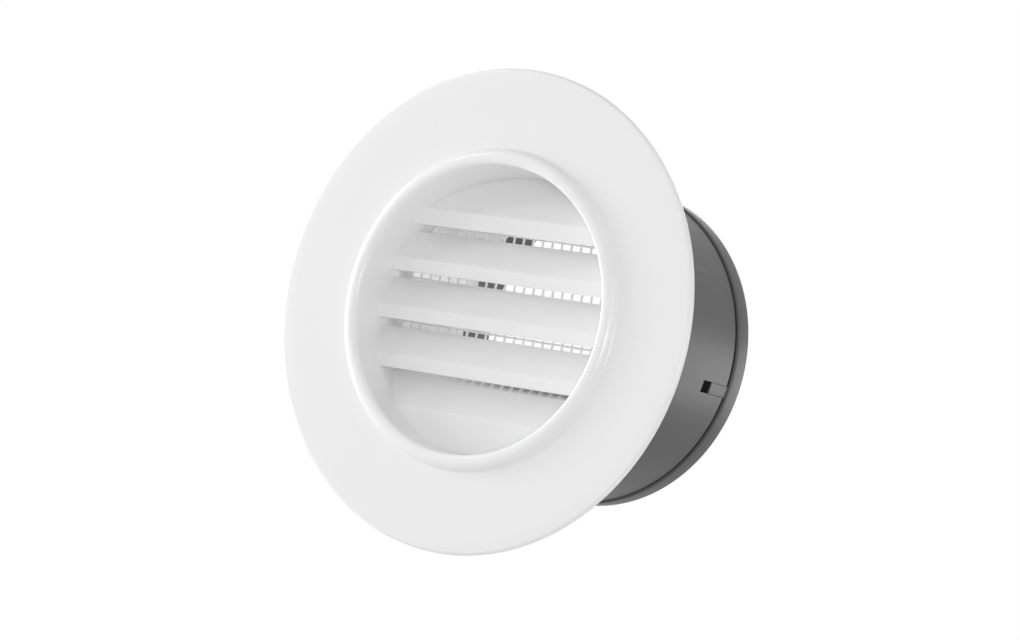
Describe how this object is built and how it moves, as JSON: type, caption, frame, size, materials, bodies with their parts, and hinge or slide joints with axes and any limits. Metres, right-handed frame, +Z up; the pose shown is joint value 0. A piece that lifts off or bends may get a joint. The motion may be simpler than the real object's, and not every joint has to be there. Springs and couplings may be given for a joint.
{
  "type": "round vent cover",
  "caption": "Round wall vent cover: flat flange, beaded throat with slanted rain blades, insect mesh behind them, and a dark spigot that pushes into a duct.",
  "frame": {"origin": "on the duct axis in the wall plane, at the centre of the ring-shaped back face of the flange", "axes": "+Y along the duct axis into the wall, so the louvred front faces -Y; +Z up, so the blades shed rain downwards; +X to the right seen from the front"},
  "size_m": [0.144, 0.0749, 0.144],
  "materials": {
    "white_plastic": "glossy moulded white",
    "mesh_plastic": "moulded off-white mesh",
    "grey_plastic": "satin moulded dark grey"
  },
  "bodies": {
    "root": {"front_cover": "white_plastic", "insect_mesh": "mesh_plastic", "duct_spigot": "grey_plastic", "end_ring": "grey_plastic"}
  },
  "joints": []
}
